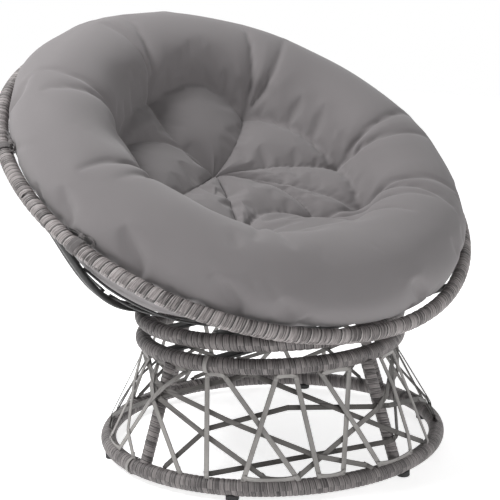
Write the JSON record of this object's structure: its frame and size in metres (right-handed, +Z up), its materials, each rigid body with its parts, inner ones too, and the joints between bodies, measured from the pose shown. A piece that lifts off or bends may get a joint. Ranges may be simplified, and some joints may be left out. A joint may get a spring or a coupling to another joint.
{
  "type": "papasan chair",
  "caption": "Low swivel lounge chair: a round tufted cushion in a tilted wire bowl, over a drum base woven with wicker strips.",
  "frame": {"origin": "on the floor, under the middle of the chair's bounding box", "axes": "+Z up, +X to the sitter's left, the sitter faces -Y; the swivel axis is parallel to Z"},
  "size_m": [1.0486, 0.8974, 0.8932],
  "materials": {
    "rattan": "wound poly-rattan strip, satin",
    "wicker": "flat poly-rattan strip, satin",
    "black_steel": "black powder coat",
    "zinc": "zinc plated",
    "foot_plastic": "moulded",
    "tie_cloth": "woven ribbon",
    "cushion_cloth": "soft woven cover, matte"
  },
  "bodies": {
    "base": {"base_bottom_ring": "rattan", "base_top_ring": "rattan", "base_leg_1": "rattan", "base_leg_2": "rattan", "base_leg_3": "rattan", "base_leg_4": "rattan", "foot_1": "foot_plastic", "foot_2": "foot_plastic", "foot_3": "foot_plastic", "foot_4": "foot_plastic", "foot_5": "foot_plastic", "foot_6": "foot_plastic", "base_crossbar_front": "black_steel", "base_crossbar_rear": "black_steel", "swivel_lower_plate": "black_steel", "swivel_bearing_ring": "zinc", "swivel_king_pin": "zinc", "web_strip_front_1": "wicker", "web_strip_front_2": "wicker", "web_strip_front_3": "wicker", "web_strip_front_4": "wicker", "web_strip_front_5": "wicker", "web_strip_rear_1": "wicker", "web_strip_rear_2": "wicker", "web_strip_rear_3": "wicker", "web_strip_rear_4": "wicker", "web_strip_rear_5": "wicker"},
    "bowl": {"seat_support_ring": "rattan", "seat_crossbar_front": "black_steel", "seat_crossbar_rear": "black_steel", "swivel_upper_plate": "black_steel", "rim_front": "rattan", "rim_back": "rattan", "rim_spigot_left": "black_steel", "rim_spigot_right": "black_steel", "hub_front": "black_steel", "hub_back": "black_steel", "rib_front_1": "black_steel", "rib_front_2": "black_steel", "rib_front_pair_1": "black_steel", "rib_front_pair_2": "black_steel", "rib_back_1": "black_steel", "rib_back_2": "black_steel", "rib_back_pair_1": "black_steel", "rib_back_pair_2": "black_steel", "wire_front_1": "black_steel", "wire_front_2": "black_steel", "wire_front_3": "black_steel", "wire_front_4": "black_steel", "wire_front_5": "black_steel", "wire_back_1": "black_steel", "wire_back_2": "black_steel", "wire_back_3": "black_steel", "wire_back_4": "black_steel", "wire_back_5": "black_steel", "tie_band_front_1": "tie_cloth", "tie_band_front_2": "tie_cloth", "tie_band_back_1": "tie_cloth", "tie_band_back_2": "tie_cloth"},
    "cushion": {"cushion": "cushion_cloth"}
  },
  "joints": [
    {"name": "swivel", "type": "hinge", "parent": "base", "child": "bowl", "pos_m": [0, -0.0826, 0.26], "axis": [0, 0, 1], "continuous": true},
    {"name": "cushion_lift", "type": "slide", "parent": "bowl", "child": "cushion", "axis": [0, -0.527, 0.8499], "range_m": [0, 0.45]}
  ]
}
